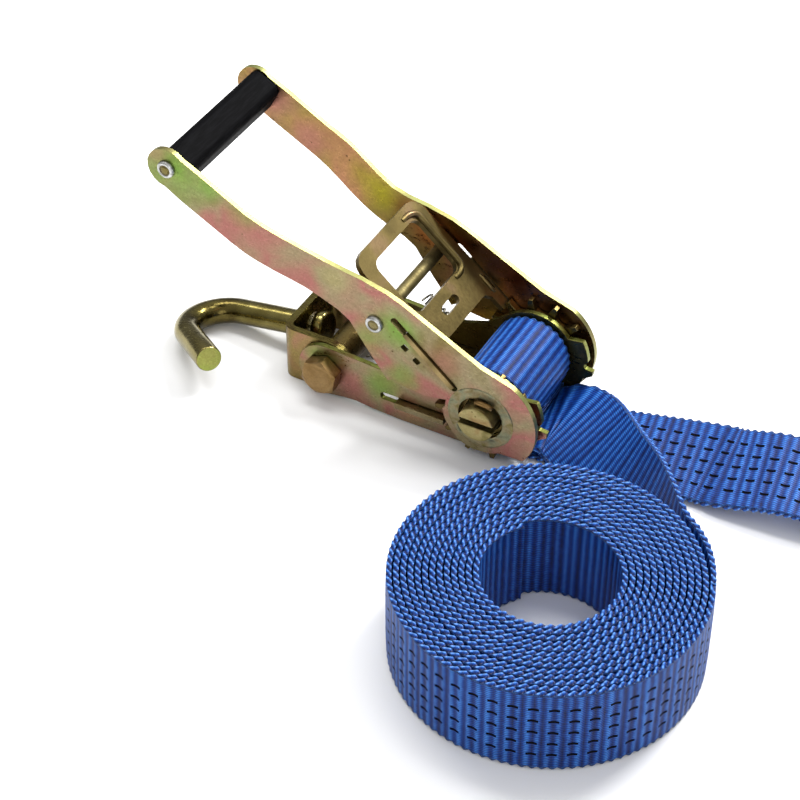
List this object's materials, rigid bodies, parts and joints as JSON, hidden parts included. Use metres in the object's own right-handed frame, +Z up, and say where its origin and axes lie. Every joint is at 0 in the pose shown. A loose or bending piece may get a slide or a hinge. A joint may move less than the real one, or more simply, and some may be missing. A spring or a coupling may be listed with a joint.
{
  "type": "ratchet tie down",
  "caption": "Webbing ratchet with lever handle, twin ratchet wheels, swivelling J hook on a bracket, rolled flat strap and a sewn far end with its own hook.",
  "frame": {"origin": "centre of the whole object's footprint, on the surface it lies on", "axes": "+X along the base frame from the hook towards the far end of the strap, +Y along the spindle away from the roll, +Z up"},
  "size_m": [0.5978, 0.3068, 0.1417],
  "materials": {
    "yellow_zinc": "iridescent yellow zinc plate, satin",
    "dark_zinc": "darker bronze zinc plate, glossy",
    "plain_steel": "plain steel, slightly worn",
    "blue_webbing": "woven polyester webbing, slight sheen",
    "black_plastic": "moulded, fine grain"
  },
  "bodies": {
    "frame": {"base_plate_near": "yellow_zinc", "base_plate_far": "yellow_zinc", "pivot_bolt": "yellow_zinc", "pivot_nut": "yellow_zinc", "spacer_sleeve": "dark_zinc", "lock_spring": "plain_steel", "strap_roll": "blue_webbing", "strap_tail": "blue_webbing", "strap_lead": "blue_webbing", "strap_end_loop": "blue_webbing", "far_bolt": "yellow_zinc", "far_nut": "yellow_zinc", "far_sleeve": "dark_zinc"},
    "spindle": {"mandrel_upper": "yellow_zinc", "mandrel_lower": "yellow_zinc", "ratchet_wheel_near": "dark_zinc", "ratchet_wheel_far": "dark_zinc", "split_pin_near": "yellow_zinc", "split_pin_far": "yellow_zinc", "strap_drum": "blue_webbing"},
    "handle": {"handle_plate_near": "yellow_zinc", "handle_plate_far": "yellow_zinc", "handle_cross_rod": "plain_steel", "grip_rivet": "plain_steel", "grip": "black_plastic", "drive_spring": "plain_steel"},
    "drive_pawl": {"release_plate": "yellow_zinc", "spring_seat": "yellow_zinc"},
    "lock_pawl": {"lock_pawl": "yellow_zinc"},
    "hook_bracket": {"hook_bracket": "yellow_zinc"},
    "hook": {"hook": "dark_zinc"},
    "far_bracket": {"far_bracket": "yellow_zinc"},
    "far_hook": {"far_hook": "dark_zinc"}
  },
  "joints": [
    {"name": "handle_swing", "type": "hinge", "parent": "frame", "child": "handle", "pos_m": [-0.10423, 0.06247, 0.02911], "axis": [0, 1, 0], "range_deg": [-15, 90]},
    {"name": "spindle_turn", "type": "hinge", "parent": "frame", "child": "spindle", "pos_m": [-0.10423, 0.06247, 0.02911], "axis": [0, 1, 0], "continuous": true},
    {"name": "drive_pawl_slide", "type": "slide", "parent": "handle", "child": "drive_pawl", "axis": [-0.749, 0, 0.6626], "range_m": [0, 0.006], "stiffness_N_per_m": 700, "springref_m": -0.012, "deforming": ["drive_spring"]},
    {"name": "lock_pawl_slide", "type": "slide", "parent": "frame", "child": "lock_pawl", "axis": [-1, 0, 0], "range_m": [0, 0.006], "stiffness_N_per_m": 500, "springref_m": -0.012, "deforming": ["lock_spring"]},
    {"name": "bracket_swing", "type": "hinge", "parent": "frame", "child": "hook_bracket", "pos_m": [-0.20123, 0.06247, 0.01661], "axis": [0, 1, 0], "range_deg": [0, 35]},
    {"name": "hook_swivel", "type": "hinge", "parent": "hook_bracket", "child": "hook", "pos_m": [-0.22823, 0.06247, 0.01661], "axis": [-0.9869, 0, -0.1616], "continuous": true},
    {"name": "far_bracket_swing", "type": "hinge", "parent": "frame", "child": "far_bracket", "pos_m": [0.20377, 0.08647, 0.01691], "axis": [0.1045, -0.9945, 0], "range_deg": [0, 35]},
    {"name": "far_hook_swivel", "type": "hinge", "parent": "far_bracket", "child": "far_hook", "pos_m": [0.23062, 0.08929, 0.01691], "axis": [0.9815, 0.1032, -0.1616], "continuous": true}
  ]
}
